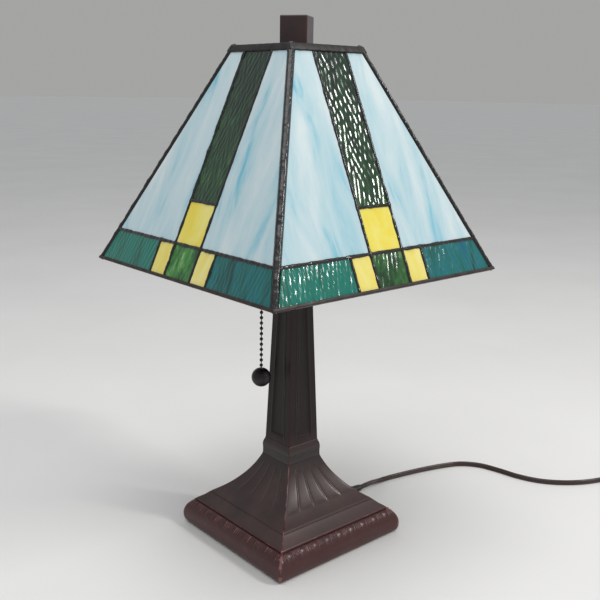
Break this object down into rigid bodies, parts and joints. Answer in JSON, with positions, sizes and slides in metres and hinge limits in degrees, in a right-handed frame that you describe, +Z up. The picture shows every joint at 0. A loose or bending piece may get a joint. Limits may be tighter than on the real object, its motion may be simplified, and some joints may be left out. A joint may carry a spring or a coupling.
{
  "type": "table lamp",
  "caption": "Table lamp with a leaded glass pyramid shade, a tapered square column on a stepped square base, a pull chain switch and a cord with plug.",
  "frame": {"origin": "centre of the underside of the base, on the surface it stands on", "axes": "+Z up, -Y is the front panel of the shade, the pull chain hangs on the -X side and the cord leaves on the +X side"},
  "size_m": [0.5631, 0.4161, 0.4827],
  "materials": {
    "bronze_paint": "satin dark bronze with rubbed edges",
    "dark_metal": "satin",
    "solder": "glossy black patina",
    "rim_metal": "satin",
    "glass_blue": "opalescent, streaky",
    "glass_green": "rippled",
    "glass_yellow": "opalescent, streaky",
    "glass_teal": "rippled",
    "bulb_glass": "frosted",
    "brass": "satin",
    "steel": "zinc plated",
    "aluminium": "satin",
    "cast_iron": "rough",
    "felt": "felt",
    "fibre": "matt",
    "black_plastic": "matt",
    "cord_cover": "satin"
  },
  "bodies": {
    "lamp": {"felt_pad": "felt", "bottom_plate": "steel", "base_weight": "cast_iron", "weight_spacer": "steel", "base_casting": "bronze_paint", "strain_relief": "black_plastic", "supply_wire": "cord_cover", "column_collar": "bronze_paint", "column": "bronze_paint", "column_cap": "bronze_paint", "threaded_rod": "steel", "rod_nuts": "brass", "rod_washer": "steel", "harp_saddle": "brass", "holder_cap": "brass", "holder_shell": "brass", "holder_liner": "fibre", "switch_body": "black_plastic", "screw_shell": "brass", "centre_contact": "brass", "chain_outlet": "brass", "harp": "brass", "harp_stud": "brass", "cord_run": "cord_cover", "cord_coil": "cord_cover", "cord_tail": "cord_cover", "plug_body": "cord_cover", "plug_blades": "brass"},
    "shade": {"shade_cap": "bronze_paint", "corner_seams": "solder", "top_rim": "solder", "bottom_rim": "rim_metal", "came_front": "solder", "came_right": "solder", "came_back": "solder", "came_left": "solder", "glass_blue_front": "glass_blue", "glass_blue_right": "glass_blue", "glass_blue_back": "glass_blue", "glass_blue_left": "glass_blue", "glass_green_front": "glass_green", "glass_green_right": "glass_green", "glass_green_back": "glass_green", "glass_green_left": "glass_green", "glass_yellow_front": "glass_yellow", "glass_yellow_right": "glass_yellow", "glass_yellow_back": "glass_yellow", "glass_yellow_left": "glass_yellow", "glass_teal_front": "glass_teal", "glass_teal_right": "glass_teal", "glass_teal_back": "glass_teal", "glass_teal_left": "glass_teal"},
    "finial": {"finial": "bronze_paint"},
    "pull_link": {"pull_link": "dark_metal"},
    "pull_chain": {"pull_chain": "dark_metal", "pull_ball": "dark_metal"},
    "bulb": {"bulb_base": "aluminium", "bulb_glass": "bulb_glass"},
    "sleeve_left": {"sleeve_left": "brass"},
    "sleeve_right": {"sleeve_right": "brass"}
  },
  "joints": [
    {"name": "shade_turn", "type": "hinge", "parent": "lamp", "child": "shade", "pos_m": [0, 0, 0.458], "axis": [0, 0, 1], "continuous": true},
    {"name": "finial_turn", "type": "hinge", "parent": "lamp", "child": "finial", "pos_m": [0, 0, 0.458], "axis": [0, 0, 1], "continuous": true},
    {"name": "bulb_turn", "type": "hinge", "parent": "lamp", "child": "bulb", "pos_m": [0, 0, 0.34], "axis": [0, 0, 1], "continuous": true},
    {"name": "chain_pull", "type": "slide", "parent": "lamp", "child": "pull_link", "axis": [0, 0, -1], "range_m": [0, 0.009], "stiffness_N_per_m": 600, "springref_m": -0.003},
    {"name": "chain_swing", "type": "hinge", "parent": "pull_link", "child": "pull_chain", "pos_m": [-0.0376, 0, 0.3102], "axis": [1, 0, 0], "range_deg": [-15, 15]},
    {"name": "sleeve_left_lift", "type": "slide", "parent": "lamp", "child": "sleeve_left", "axis": [0, 0, 1], "range_m": [0, 0.014]},
    {"name": "sleeve_right_lift", "type": "slide", "parent": "lamp", "child": "sleeve_right", "axis": [0, 0, 1], "range_m": [0, 0.014]}
  ]
}
